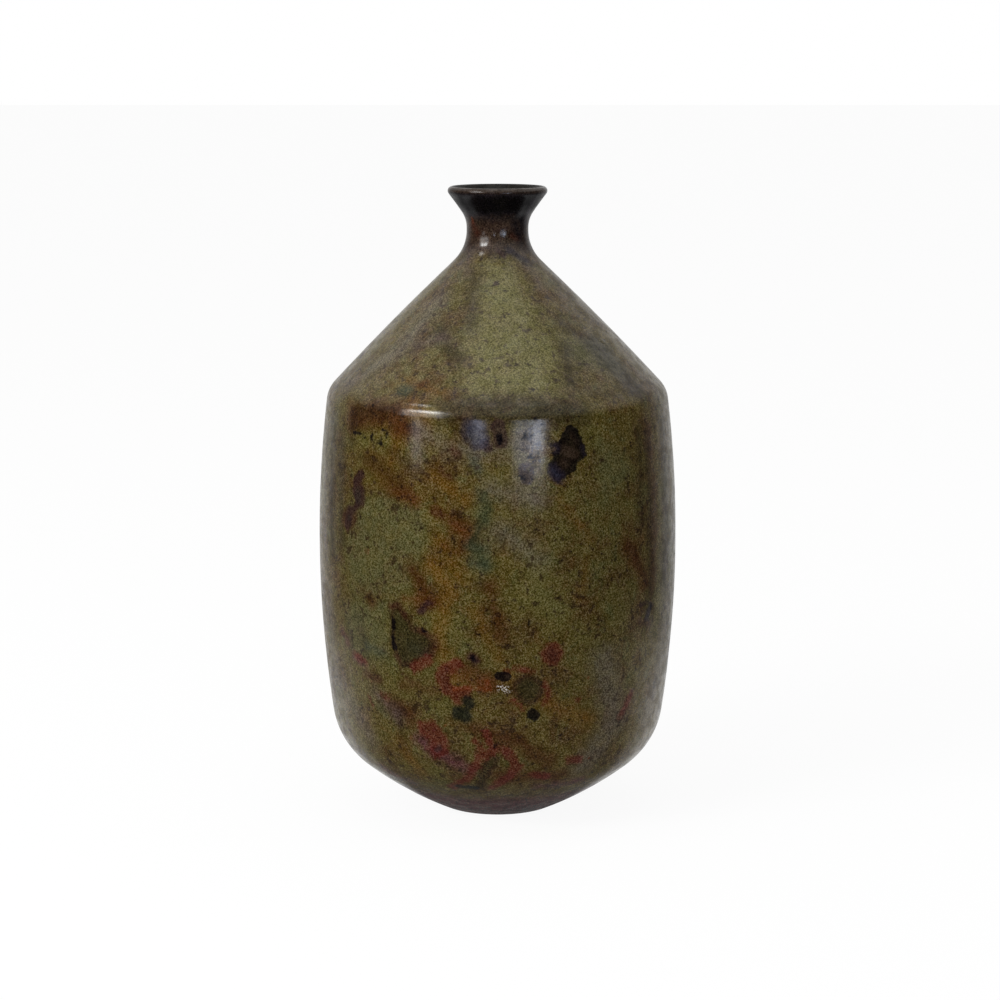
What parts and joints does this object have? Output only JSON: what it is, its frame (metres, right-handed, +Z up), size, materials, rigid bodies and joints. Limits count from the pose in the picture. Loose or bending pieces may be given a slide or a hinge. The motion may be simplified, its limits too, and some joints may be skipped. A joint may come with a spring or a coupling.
{
  "type": "bronze bottle vase",
  "caption": "Cast bronze bottle vase with a mottled patina, conical shoulder, narrow flared neck and small ring foot, closed underneath by a plate.",
  "frame": {"origin": "centre of the foot's contact face, on the axis of the turned form", "axes": "+Z up along the axis of the turned form, towards the mouth; -Y faces the viewer of the picture"},
  "size_m": [0.1462, 0.1462, 0.255],
  "materials": {
    "patinated_bronze": "mottled patina",
    "plug_bronze": "mottled patina",
    "base_bronze": "dark brown patina",
    "solder": "dull grey tin"
  },
  "bodies": {
    "root": {"vessel_shell": "patinated_bronze", "shoulder_core_plugs": "plug_bronze", "base_plate": "base_bronze", "base_solder": "solder"}
  },
  "joints": []
}
